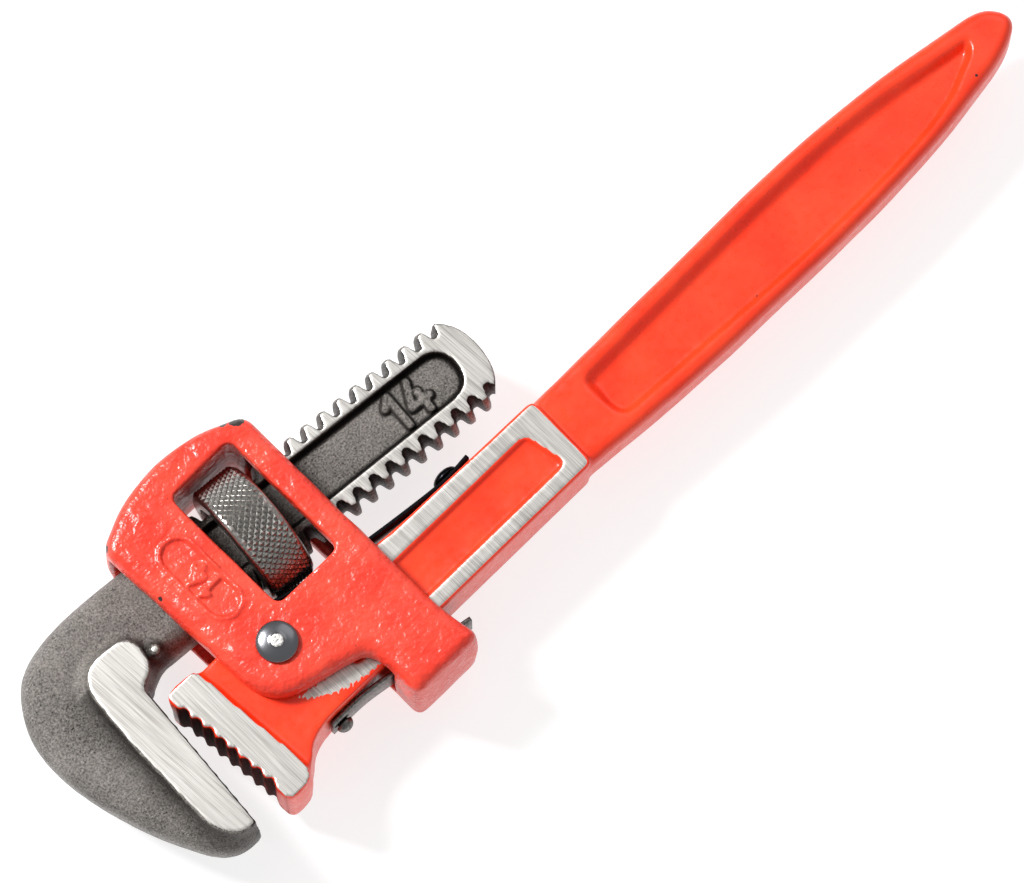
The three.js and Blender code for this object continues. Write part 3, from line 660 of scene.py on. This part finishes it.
def buildFrame():
    c = casting
    low, high = nodeBox("frame")
    axes = gridAxes(low, high, c["step"])
    x, y, z = axes[0][:, None, None], axes[1][None, :, None], axes[2][None, None, :]
    flatX, flatY = axes[0][:, None], axes[1][None, :]
    top, foot = high[1], low[1]
    right = high[0] - 2
    left = low[0] + 1.6
    shoulder = nutCentre[1] + 23
    crown = top + 0.9
    bridgeLeft = c["bridge"]
    outline = curve([[left - 2, shoulder, 4], [nutCentre[0] - 18, crown, 16],
                     [nutCentre[0] + 3, crown - 0.5, 16], [right, shoulder + 0.6, 4],
                     [right - 0.4, -14, 20], [right, c["wallUnderHandle"], 8],
                     [right + 2, foot, 4], [bridgeLeft, foot, 4], [bridgeLeft + 0.4, -20, 8],
                     [9, -17.6, 7], [-9, -13.6, 8], [left + 0.2, -5.5, 6]], 9)
    distance = outlineDistance(outline, flatX, flatY)
    wl, wr, wf, wt = c["window"]
    bend = c["windowCorner"]
    window = curve([[wl, wt, bend], [wr, wt, bend], [wr, wf, bend], [wl, wf, bend]])
    windowDistance = outlineDistance(window, flatX, flatY)
    # raised marks on the cheeks: a stadium with the size in it, a boss, and a flash line by the edge
    ax, ay = c["plateAt"]
    beyond = np.maximum(np.abs(flatY - ay) - c["plateReach"], 0)
    stadium = np.hypot(flatX - ax, beyond) - c["plateHalfWidth"]
    mark = strokeDistance(sizeMark(-5.4, -3.4, 6.8), flatY - ay, ax - flatX)
    ridge = 0.8 * smoothStep(0.95, 0.3, np.abs(stadium)) + 1.1 * smoothStep(1.2, 0.5, mark)
    ridge = ridge - 0.6 * smoothStep(0.2, -0.9, stadium)
    boss = np.hypot(flatX - c["bossAt"][0], flatY - c["bossAt"][1])
    ridge = ridge + 0.25 * smoothStep(4.6, 3.6, boss) + 0.2 * smoothStep(0.8, 0.2, np.abs(boss - 4.3))
    ring = np.abs(np.hypot(flatX - 2.2, flatY - 13.4) - 1.3)
    ridge = ridge + 0.3 * smoothStep(0.7, 0.1, ring)
    flash = np.abs(distance + 5.2) + 3 * (flatX > -6) + 3 * (flatY > 49) + 3 * (flatY < -6)
    ridge = ridge + 0.28 * smoothStep(0.9, 0.1, flash)
    leather = lumps([axes[0], axes[1] * 0.8, np.array([0.0])], 1.5, 11)[:, :, 0]
    strip = smoothStep(1.5, 3, flatX - wr) * smoothStep(-4, 4, flatY)
    ridge = ridge + leather * (0.07 + 0.07 * strip) * smoothStep(-0.5, 0.5, stadium)
    cheekHalf = c["half"] - c["lift"] + ridge
    bulge = 1.0 * (1 - np.clip(np.abs(z) / c["half"], 0, 1) ** 2)
    rough = c["swell"] * (lumps(axes, 8, 5) + 0.45 * lumps(axes, 3.6, 6))
    body = slabField(distance[:, :, None] + 0.9 - bulge, z, cheekHalf[:, :, None], c["edge"]) + 0.5 * rough
    # the space for the handle and the shank, its roof following the shank
    over = shankUnder(flatX) + 2 * thread["radius"] + 2 * c["neckGap"]
    rise = flatY - over
    floorLine = c["wallUnderHandle"] - (flatX - bridgeLeft) * c["bridgeFall"]
    below = np.where(flatX > bridgeLeft - 2, floorLine - flatY, -50.0)
    channel = np.maximum(rise, below)[:, :, None]
    inner = c["half"] - c["cheek"]
    space = blendMax(np.abs(z) - inner, channel, 1.2)
    field = blendMax(body, -space, 0.9)
    field = blendMax(field, -(windowDistance[:, :, None] + 0.35 * rough), c["windowEdge"])
    field = np.maximum(field, c["rivetHole"] - np.hypot(x, y))
    piece, points = netMesh("frame_casting", field, axes, lambda p: p)
    note(piece, "bare", np.full(len(points), -9.0))
    # painted shade on the faces inside the channel, under the cheeks, and only a little on the window's
    # walls
    inside = smoothStep(inner + 0.9, inner - 0.2, np.abs(points[:, 2]))
    hidden = outlineDistance(outline, points[:, 0], points[:, 1]) < -3.5
    onWindow = np.abs(outlineDistance(window, points[:, 0], points[:, 1])) < 1.6
    note(piece, "shade", np.where(onWindow, 0.12, 0.85) * inside * hidden)
    note(piece, "chip", chipDistance(points, c["chips"]))
    return piece


framePiece = buildFrame()
finish(framePiece, frameEnamel, "frame", "frame_enamel", "frame")
print("frame:", len(framePiece.data.polygons), "faces")


hook = {
    "step": 0.56,
    "shankHalf": 6.5,
    "shankEnd": 83.4,
    "pocketHalfWidth": 8.2,
    "pocketDepth": 2.5,
    "neckHalf": 9.5,
    "neckEnd": 22.0,
    "webHalf": 8.8,
    "face": 52.9,
    "back": 86.3,
    "drop": 68.4,
    "throat": 14.4,
    "firstTooth": 28.0,
    "groundHalf": 12.5,
    "pocketStart": -18,
    "mark": (50.5, -5.4, 10.8),  # lower left corner and height of the size in the pocket
    "bareFrom": 14,              # the shank is ground from here to its end
    "swell": 0.16,               # mm of unevenness
    "grit": 0.07,
}


def buildHook():
    k = hook
    face, back, foot, throat = -k["face"], -k["back"], -k["drop"], k["throat"]
    axes = gridAxes([back - 0.5, foot - 1, -k["groundHalf"]],
                    [k["shankEnd"], thread["radius"] + 0.5, k["groundHalf"]], k["step"])
    x, y, z = axes[0][:, None, None], axes[1][None, :, None], axes[2][None, None, :]
    flatX, flatY = axes[0][:, None], axes[1][None, :]
    # shank: a flat bar cut by the thread, with a pocket in each side
    side = thread["radius"] + 1
    bar = curve([[-k["neckEnd"] - 4, side, 0], [k["shankEnd"], side, side], [k["shankEnd"], -side, side],
                 [-k["neckEnd"] - 4, -side, 0]], 14)
    half = k["pocketHalfWidth"]
    end = k["shankEnd"] - half
    pocket = curve([[k["pocketStart"], half + 0.6, 3], [end, half, half], [end, -half + 0.6, half],
                    [k["pocketStart"], -half + 0.4, 3]], 12)
    pocketDistance = outlineDistance(pocket, flatX, flatY)
    mark = strokeDistance(sizeMark(*k["mark"]), flatX, flatY)
    depth = k["pocketDepth"] * smoothStep(-0.1, 0.9, -pocketDistance)
    depth = depth - 1.5 * smoothStep(1.7, 0.9, mark)
    height = (k["shankHalf"] - depth)[:, :, None]
    barField = slabField(outlineDistance(bar, flatX, flatY)[:, :, None], z, height, 0.5)
    around = np.arctan2(z, y) / (2 * math.pi)
    wave = np.cos(2 * math.pi * (x / thread["pitch"] - around))
    tooth = smoothStep(0, 1, np.clip(0.5 + 0.62 * wave, 0, 1))
    threadField = 0.75 * (np.hypot(y, z) - thread["radius"] + thread["depth"] * (1 - tooth))
    shankField = blendMax(barField, threadField, 0.35)
    # hook: a thick neck, a rounded web, and the ground flange behind the teeth
    outline = curve([[-k["neckEnd"] + 3, throat, 0], [back + 14, throat, 26], [back, -3, 20],
                     [back, -24, 24],
                     [back + 9.5, 0.73 * foot, 30], [face - 11.4, foot - 1.4, 9], [face + 0.9, foot, 5],
                     [face + 0.9, -19, 3], [face + 3.4, -throat - 0.4, 5],
                     [-k["neckEnd"] + 3, -throat, 0]], 12)
    hookDistance = outlineDistance(outline, flatX, flatY)
    flange = curve([[face - 12.2, -3.4, 9], [face + 5.8, -3.4, 6], [face + 5.2, -throat, 4],
                    [face - 0.9, -throat - 2.6, 3], [face - 0.7, -26, 3], [face + 0.9, foot + 1.4, 3],
                    [face - 6, foot + 1.4, 5], [face - 10.4, foot + 8, 5], [face - 12.4, -24, 9]], 9)
    flangeDistance = outlineDistance(flange, flatX, flatY)
    crown = (k["neckHalf"] - k["webHalf"]) * smoothStep(face - 16, face + 8, flatX)
    crown = crown * smoothStep(-20, -8, flatY)
    sag = 0.9 * smoothStep(9, 3, np.abs(flangeDistance)) * (flangeDistance > 0)
    webHeight = (k["webHalf"] + crown - sag)[:, :, None]
    rough = k["swell"] * lumps(axes, 6, 21) + k["grit"] * lumps(axes, 1.3, 22)
    web = slabField(hookDistance[:, :, None], z, webHeight, 7.2) + 0.6 * rough
    ledge = slabField(flangeDistance[:, :, None] - 0.9, z, k["groundHalf"] + 1.1, 2.6) + 1.2 * rough
    spot = np.sqrt((x + 43.8) ** 2 + (y + 11.2) ** 2 + ((np.abs(z) - 10.6) * 0.8) ** 2) - 1.75
    ledge = np.maximum(blendMin(ledge, spot + rough, 0.8), np.abs(z) - k["groundHalf"])
    field = blendMin(web, ledge, 5.0)
    field = np.maximum(field, np.abs(z) - k["groundHalf"])
    # rows of teeth, cut square through the flange
    reachDown = k["firstTooth"] + flatY
    step = (-reachDown / handle["toothPitch"]) % 1
    bite = handle["toothDepth"] * np.where(step < 0.35, step / 0.35, (1 - step) / 0.65)
    bite = np.where((reachDown < 0) & (flatY > foot + 1.5), bite, 0.0)[:, :, None]
    bite = bite * smoothStep(k["groundHalf"] - 0.4, k["groundHalf"] - 2.2, np.abs(z))
    below = (flatY < -throat - 4)[:, :, None]
    field = blendMax(field, np.where(below, 0.8 * (x - face + bite), -9.0), 0.3)
    join = np.maximum(shankField, -x - k["neckEnd"] - 3)
    field = blendMin(field, join, 1.0)
    piece, points = netMesh("hook_forging", field, axes, fromShank)
    px, py, pz = points.T
    height = np.abs(pz)
    onFlange = 4 * (height - k["groundHalf"] + 0.1)
    onShank = np.minimum(4 * (height - k["shankHalf"] + 0.09), px - k["bareFrom"])
    onShank = np.where(height < k["shankHalf"] + 0.05, onShank, -9)
    note(piece, "bare", np.maximum(onFlange, onShank))
    # painted shade, noted for the material: dark in the thread's gullets, at the pocket's walls, in the
    # throat and on the tooth faces
    radius = np.hypot(py, pz)
    gulletShade = smoothStep(0.0, 0.6, thread["radius"] - 0.15 - radius)
    gulletShade = gulletShade * (np.abs(py) > 9.5) * (px > -k["neckEnd"])
    gulletShade = np.where(py > 0, 0.75 * gulletShade, 0.9 * gulletShade)
    wallShade = smoothStep(1.7, 0.9, np.abs(outlineDistance(pocket, px, py) + 0.4)) * (px > k["pocketStart"])
    wallShade *= smoothStep(k["shankHalf"] - 0.15, k["shankHalf"] - 0.6, height)
    rolled = height < k["groundHalf"] - 0.6
    throatShade = smoothStep(7, 3.5, np.hypot(px + 45.5, (py + 14) * 0.8)) * rolled * 0.7
    teethShade = 0.8 * smoothStep(-0.6, 0.0, px - face + handle["toothDepth"]) * (py < -20)
    # painted shadow of the frame on the shank inside its window
    windowShadow = 0.5 * smoothStep(17, 13, px) * smoothStep(-24, -20, px)
    # painted shade in a ring round the raised size, at the foot of its strokes
    markEdgeShade = strokeDistance(sizeMark(*k["mark"]), px, py)
    markEdgeShade = 0.85 * smoothStep(0.75, 0.15, np.abs(markEdgeShade - 1.45)) * (height > 2) * (height < 6)
    # painted shade in the valley of the web beside the flange
    away = outlineDistance(flange, px, py)
    valleyShade = 0.6 * smoothStep(7, 2, away) * (away > 0) * rolled * (py < -8)
    shade = np.max([gulletShade, wallShade, throatShade, teethShade, windowShadow, markEdgeShade, valleyShade], 0)
    note(piece, "shade", np.clip(shade, 0, 1))
    return piece


hookPiece = buildHook()
finish(hookPiece, hookSteel, "hook_jaw", "hook_steel", "hook_jaw")
print("hook jaw:", len(hookPiece.data.polygons), "faces")


def knurlTree(material):
    # Geometry Nodes: rings of small pyramids, every other ring turned half a step
    tree = bpy.data.node_groups.new("diamondKnurl", "GeometryNodeTree")
    face = tree.interface
    face.new_socket("Geometry", in_out="INPUT", socket_type="NodeSocketGeometry")
    for name, kind in (("Radius", "Float"), ("Rows", "Int"), ("Around", "Int"), ("Pitch", "Float"),
                       ("Height", "Float"), ("Centre", "Vector"), ("Turn", "Vector")):
        face.new_socket(name, in_out="INPUT", socket_type="NodeSocket" + kind)
    face.new_socket("Geometry", in_out="OUTPUT", socket_type="NodeSocketGeometry")
    given = addNode(tree, "NodeGroupInput").outputs
    lift = addNode(tree, "ShaderNodeCombineXYZ", {}, {"Z": given["Pitch"]}).outputs[0]
    line = addNode(tree, "GeometryNodeMeshLine", {}, {"Count": given["Rows"], "Offset": lift})
    back = arithmetic(tree, "MULTIPLY", arithmetic(tree, "SUBTRACT", given["Rows"], 1.0), -0.5)
    lowest = arithmetic(tree, "MULTIPLY", back, given["Pitch"])
    start = addNode(tree, "ShaderNodeCombineXYZ", {}, {"Z": lowest})
    tree.links.new(start.outputs[0], line.inputs["Start Location"])
    ring = addNode(tree, "GeometryNodeMeshCircle", {},
                   {"Vertices": given["Around"], "Radius": given["Radius"]})
    index = addNode(tree, "GeometryNodeInputIndex").outputs[0]
    odd = arithmetic(tree, "MODULO", index, 2.0)
    stepAngle = arithmetic(tree, "DIVIDE", math.pi, given["Around"])
    spin = addNode(tree, "ShaderNodeCombineXYZ", {}, {"Z": arithmetic(tree, "MULTIPLY", odd, stepAngle)})
    rings = addNode(tree, "GeometryNodeInstanceOnPoints", {},
                    {"Points": line.outputs[0], "Instance": ring.outputs[0], "Rotation": spin.outputs[0]})
    points = addNode(tree, "GeometryNodeRealizeInstances", {}, {0: rings.outputs[0]}).outputs[0]
    place = addNode(tree, "GeometryNodeInputPosition").outputs[0]
    outward = addNode(tree, "ShaderNodeVectorMath", {"operation": "MULTIPLY"},
                      {0: place, 1: (1, 1, 0)}).outputs[0]
    upright = addNode(tree, "FunctionNodeAlignRotationToVector", {"axis": "Z"},
                      {"Vector": outward}).outputs[0]
    facing = addNode(tree, "FunctionNodeAlignRotationToVector", {"axis": "X", "pivot_axis": "Z"},
                     {"Rotation": upright, "Vector": (0, 0, 1)}).outputs[0]
    wide = arithmetic(tree, "MULTIPLY", given["Pitch"], 0.94)
    pyramid = addNode(tree, "GeometryNodeMeshCone", {"fill_type": "NONE"},
                      {"Radius Bottom": wide, "Depth": given["Height"]}, Vertices=4, Radius_Top=0.0)
    studs = addNode(tree, "GeometryNodeInstanceOnPoints", {},
                    {"Points": points, "Instance": pyramid.outputs[0], "Rotation": facing})
    placed = addNode(tree, "GeometryNodeRealizeInstances", {}, {0: studs.outputs[0]}).outputs[0]
    moved = addNode(tree, "GeometryNodeTransform", {}, {"Geometry": placed, "Translation": given["Centre"],
                                                        "Rotation": given["Turn"]})
    joined = addNode(tree, "GeometryNodeJoinGeometry")
    tree.links.new(moved.outputs[0], joined.inputs[0])
    tree.links.new(given["Geometry"], joined.inputs[0])
    whole = addNode(tree, "GeometryNodeRealizeInstances", {}, {0: joined.outputs[0]}).outputs[0]
    painted = addNode(tree, "GeometryNodeSetMaterial", {},
                      {"Geometry": whole, "Material": material}).outputs[0]
    output = addNode(tree, "NodeGroupOutput")
    tree.links.new(painted, output.inputs[0])
    return tree


def buildNut():
    n = nutSize
    half, radius, chamfer = n["length"] / 2, n["radius"], n["chamfer"]
    axes = gridAxes([-half, -radius, -radius], [half, radius, radius], n["step"])
    x, y, z = axes[0][:, None, None], axes[1][None, :, None], axes[2][None, None, :]
    out = np.hypot(y, z)
    ring = np.maximum(out - radius, np.abs(x) - half)
    ring = np.maximum(ring, (out - radius + np.abs(x) - half + chamfer) * 0.707)
    around = np.arctan2(z, y) / (2 * math.pi)
    wave = np.cos(2 * math.pi * (x / thread["pitch"] - around))
    hole = thread["radius"] + n["clearance"] - thread["depth"] * (1 - smoothStep(0, 1, 0.5 + 0.55 * wave))
    field = np.maximum(ring, 0.75 * (hole - out))
    plain, _ = netMesh("nut_blank", field, axes, fromShank)
    plain.modifiers.new("knurl", "NODES").node_group = knurlTree(nutSteel)
    modifier = plain.modifiers["knurl"]
    around = int(round(2 * math.pi * radius / n["knurlPitch"]))
    pitch = 2 * math.pi * radius / around / 2
    rows = int((n["length"] - 2 * chamfer) / pitch)
    values = {"Radius": (radius + n["knurlHeight"] * 0.08) / 1000, "Rows": rows, "Around": around,
              "Pitch": pitch / 1000, "Height": n["knurlHeight"] / 1000,
              "Centre": toRow([nutCentre])[0], "Turn": (0, math.pi / 2, -shankLean)}
    for item in modifier.node_group.interface.items_tree:
        if item.in_out == "INPUT" and item.name in values:
            modifier[item.identifier] = values[item.name]
    bpy.context.view_layer.update()
    evaluated = plain.evaluated_get(bpy.context.evaluated_depsgraph_get())
    mesh = bpy.data.meshes.new_from_object(evaluated)
    piece = bpy.data.objects.new("knurled_nut", mesh)
    bpy.context.scene.collection.objects.link(piece)
    bpy.data.objects.remove(plain)
    return piece


nutPiece = buildNut()
finish(nutPiece, nutSteel, "nut", "nut_steel", "nut")
print("nut:", len(nutPiece.data.polygons), "faces")


pivotRivet = {
    "radius": 4.5,
    "headRadius": 6.1,
    "headBase": 17.3,
    "headHeight": 2.2,
    "peened": 1.9,       # radius of the bright spot
}


def buildPivotRivet():
    r = pivotRivet
    top = r["headBase"] + r["headHeight"]
    head = [(r["headRadius"], r["headBase"]), (r["headRadius"], r["headBase"] + 0.25)]
    head += [(r["headRadius"] * math.cos(a), r["headBase"] + 0.25 + (r["headHeight"] - 0.4) * math.sin(a))
             for a in np.linspace(0.1, math.pi / 2 - 0.35, 9)]
    head += [(r["peened"], top - 0.1), (r["peened"] - 0.35, top), (0.9, top - 0.08), (0, top - 0.03)]
    foot = [(radius, -height) for radius, height in reversed(head)]
    profile = foot + [(r["radius"], -r["headBase"]), (r["radius"], r["headBase"])] + head
    piece = turned("peened_pivot_rivet", profile, 48, lambda p: p)
    points = np.array([v.co for v in piece.data.vertices]) * 1000 - pivot
    inSpot = r["peened"] - np.hypot(points[:, 0], points[:, 1])
    note(piece, "bare", np.where(np.abs(points[:, 2]) > r["headBase"], inSpot, -9))
    return piece


springRivets = {
    "shank": 1.8,
    "depth": 8.0,
    "frontX": 69.5,
    "frontRadius": 4.2,
    "frontHeight": 2.3,
    "backX": -0.8,
    "backRadius": 2.7,
    "backHeight": 2.6,
    "seat": 2.3,         # from the handle's edge to under the head
}


def buildSpringRivet(name, x, edge, up, radius, height):
    s = springRivets
    profile = [(0, -s["depth"]), (s["shank"], -s["depth"]), (s["shank"], s["seat"]),
               (radius - 0.2, s["seat"])]
    profile += domeProfile(radius, s["seat"] + 0.2, height - 0.2)

    def place(points):
        px, py, pz = points.T
        return np.stack([x + px * up, edge + pz * up, -py], 1)

    return turned(name, profile, 36, place)


rivetPiece = buildPivotRivet()
finish(rivetPiece, rivetSteel, "handle", "rivet_steel", "pivot_rivet")
frontRivet = buildSpringRivet("front_rivet", springRivets["frontX"], handle["front"], 1,
                              springRivets["frontRadius"], springRivets["frontHeight"])
finish(frontRivet, blackSteel, "handle", "spring_steel", "front_spring_rivet")
backRivet = buildSpringRivet("back_rivet", springRivets["backX"], handle["back"], -1,
                             springRivets["backRadius"], springRivets["backHeight"])
finish(backRivet, strapSteel, "handle", "rivet_steel", "back_spring_rivet")
print("rivets made")


leaf = {
    "thickness": 1.4,
    "width": 11.0,
    "gap": 0.3,
    "edge": 0.35,
}


def splinePoints(points, count):
    # smooth line through the points, evenly stepped, with its directions
    points = np.array(points, float)
    padded = np.vstack([2 * points[0] - points[1], points, 2 * points[-1] - points[-2]])
    line = []
    for u in np.linspace(0, len(points) - 1, count):
        i = min(int(u), len(points) - 2)
        t = u - i
        a, b, c, d = padded[i:i + 4]
        line.append(0.5 * (2 * b + (c - a) * t + (2 * a - 5 * b + 4 * c - d) * t * t
                           + (3 * b - a - 3 * c + d) * t**3))
    line = np.array(line)
    along = np.gradient(line, axis=0)
    return line, along / np.hypot(*along.T)[:, None]


def buildLeaf(name, route, count=70):
    # a strap with rounded edges along the route
    line, along = splinePoints(route, count)
    across = np.stack([-along[:, 1], along[:, 0]], 1)
    t, w, e = leaf["thickness"] / 2, leaf["width"] / 2, leaf["edge"]
    section = [(t - e, w), (t, w - e), (t, e - w), (t - e, -w),
               (e - t, -w), (-t, e - w), (-t, w - e), (e - t, w)]
    points, faces = [], []
    for place, normal in zip(line, across):
        points += [[*(place + normal * a), b] for a, b in section]
    ring = len(section)
    for i in range(count - 1):
        for j in range(ring):
            a, b = i * ring + j, i * ring + (j + 1) % ring
            faces.append([a, a + ring, b + ring, b])
    faces.append(list(range(ring)))
    faces.append([(count - 1) * ring + j for j in reversed(range(ring))])
    return meshOf(name, np.array(points), faces)


def frontRoute():
    gap, t = leaf["gap"], leaf["thickness"]
    seat = handle["front"] + gap + t / 2
    underNut = nutCentre[1] - 19.5
    tip = -3.5
    x = springRivets["frontX"]
    return [[tip, shankUnder(tip) - t / 2 - gap], [tip + 4, shankUnder(tip + 4) - t - 3 * gap],
            [nutCentre[0] - 10.5, underNut], [nutCentre[0], underNut - 2.4],
            [nutCentre[0] + 8, underNut - 4],
            [41.9, seat + 2.7], [x - 8, seat + 0.4], [x, seat], [x + 8, seat + 0.6]]


def backRoute():
    gap, t = leaf["gap"], leaf["thickness"]
    seat = handle["back"] - gap - t / 2
    x = springRivets["backX"]
    bridgeFace = casting["wallUnderHandle"] + t / 2 + 3 * gap
    start = casting["bridge"] - 0.1
    tip = nodeBox("back_spring")[1][0] - 0.2
    return [[x - 3.4, seat - 0.15], [x, seat - 0.1], [x + 9, seat - 0.2], [start + 2, bridgeFace - 0.3],
            [tip, bridgeFace - (tip - start) * casting["bridgeFall"]]]


frontLeaf = buildLeaf("front_leaf", frontRoute())
backLeaf = buildLeaf("back_leaf", backRoute())
for piece, material, node, start, end in (
        (frontLeaf, blackSteel, "front_spring", (52, 2, 0), (4, 14, 0)),
        (backLeaf, strapSteel, "back_spring", (6, -25, 0), (40, -30, 0))):
    piece.data.materials.append(material)
    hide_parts(node)
    tuple(toRow([start])[0])
    tuple(toRow([end])[0])
    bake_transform(piece)
print("springs made")


studio = {
    "floor": 6.0,         # metres across
    "key": 36.0,          # watts
    "keySize": 0.4,
    "keyFrom": (-0.45, 1.0, 1.15),
    "fill": 4.0,
    "fillSize": 1.2,
    "fillFrom": (1.2, 0.4, 1.4),
    "paper": "#a4a4a4",
    "world": 0.46,
    "glow": 0.74,         # light that the paper gives back by itself, as on a light table
}


def buildStudio():
    scene = bpy.context.scene
    half = studio["floor"] / 2
    mesh = bpy.data.meshes.new("floor")
    corners = [(-half, -half, 0), (half, -half, 0), (half, half, 0), (-half, half, 0)]
    mesh.from_pydata(corners, [], [(0, 1, 2, 3)])
    floor = bpy.data.objects.new("floor", mesh)
    scene.collection.objects.link(floor)
    paper, _, shader, _ = newMaterial("mattWhitePaper")
    shader.inputs["Base Color"].default_value = linear(studio["paper"])
    shader.inputs["Emission Color"].default_value = (1, 1, 1, 1)
    shader.inputs["Emission Strength"].default_value = studio["glow"]
    shader.inputs["Roughness"].default_value = 0.85
    shader.inputs["Specular IOR Level"].default_value = 0.1
    mesh.materials.append(paper)
    world = bpy.data.worlds.new("studio")
    scene.world = world
    world.use_nodes = True
    world.node_tree.nodes["Background"].inputs[0].default_value = (1, 1, 1, 1)
    world.node_tree.nodes["Background"].inputs[1].default_value = studio["world"]
    for name, power, size, place in (("key", studio["key"], studio["keySize"], studio["keyFrom"]),
                                     ("fill", studio["fill"], studio["fillSize"], studio["fillFrom"])):
        light = bpy.data.lights.new(name, "AREA")
        light.energy = power
        light.size = size
        lamp = bpy.data.objects.new(name, light)
        lamp.location = place
        lamp.rotation_euler = (-Vector(place)).to_track_quat("-Z", "Y").to_euler()
        scene.collection.objects.link(lamp)
    scene.view_settings.view_transform = "Standard"


view = {
    "distance": 1600,
    "tilt": 15.5,           # degrees off straight down
    "turn": 45,             # degrees that the handle is turned in the view
    "lens": 197.86,         # mm, on a 36 mm sensor
    "aim": (90.5, -1.9),    # mm from the pivot, at the wrench's middle height
}


def buildCamera():
    turn, tilt = math.radians(view["turn"]), math.radians(view["tilt"])
    right = Vector((math.cos(turn), -math.sin(turn), 0))
    up = Vector((math.sin(turn), math.cos(turn), 0))
    back = Vector((0, 0, 1)) * math.cos(tilt) - up * math.sin(tilt)
    over = back.cross(right)
    target = Vector(toRow([(*view["aim"], 0)])[0])
    camera = bpy.data.objects.new("camera", bpy.data.cameras.new("camera"))
    camera.data.lens = view["lens"]
    camera.data.sensor_width = 36
    turnTo = Matrix((right, over, back)).transposed().to_4x4()
    camera.matrix_world = Matrix.Translation(target + back * view["distance"] / 1000) @ turnTo
    bpy.context.scene.collection.objects.link(camera)
    bpy.context.scene.camera = camera


buildStudio()
buildCamera()
print("studio and camera set")
